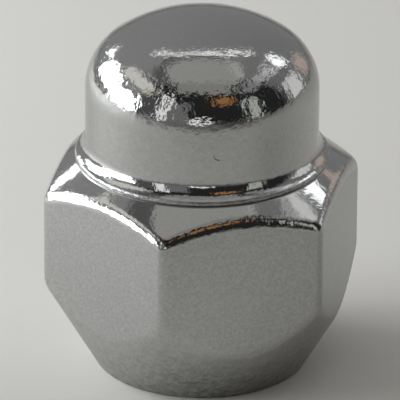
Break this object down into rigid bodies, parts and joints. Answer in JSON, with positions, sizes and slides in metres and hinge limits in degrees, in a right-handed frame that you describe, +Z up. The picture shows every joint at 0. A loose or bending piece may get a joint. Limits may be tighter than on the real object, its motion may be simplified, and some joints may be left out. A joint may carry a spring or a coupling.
{
  "type": "lug nut",
  "caption": "Closed-end chrome lug nut with a domed top on a flared collar, a hexagon for the wrench, a conical wheel seat and a blind threaded hole.",
  "frame": {"origin": "centre of the small flat end, which the nut stands on", "axes": "+Z up the thread axis to the top of the dome, two of the hexagon's flats facing +Y and -Y, and two of its corners on +X and -X"},
  "size_m": [0.0218, 0.019, 0.0246],
  "materials": {
    "chrome_plate": "polished"
  },
  "bodies": {
    "root": {"lug_nut": "chrome_plate"}
  },
  "joints": []
}
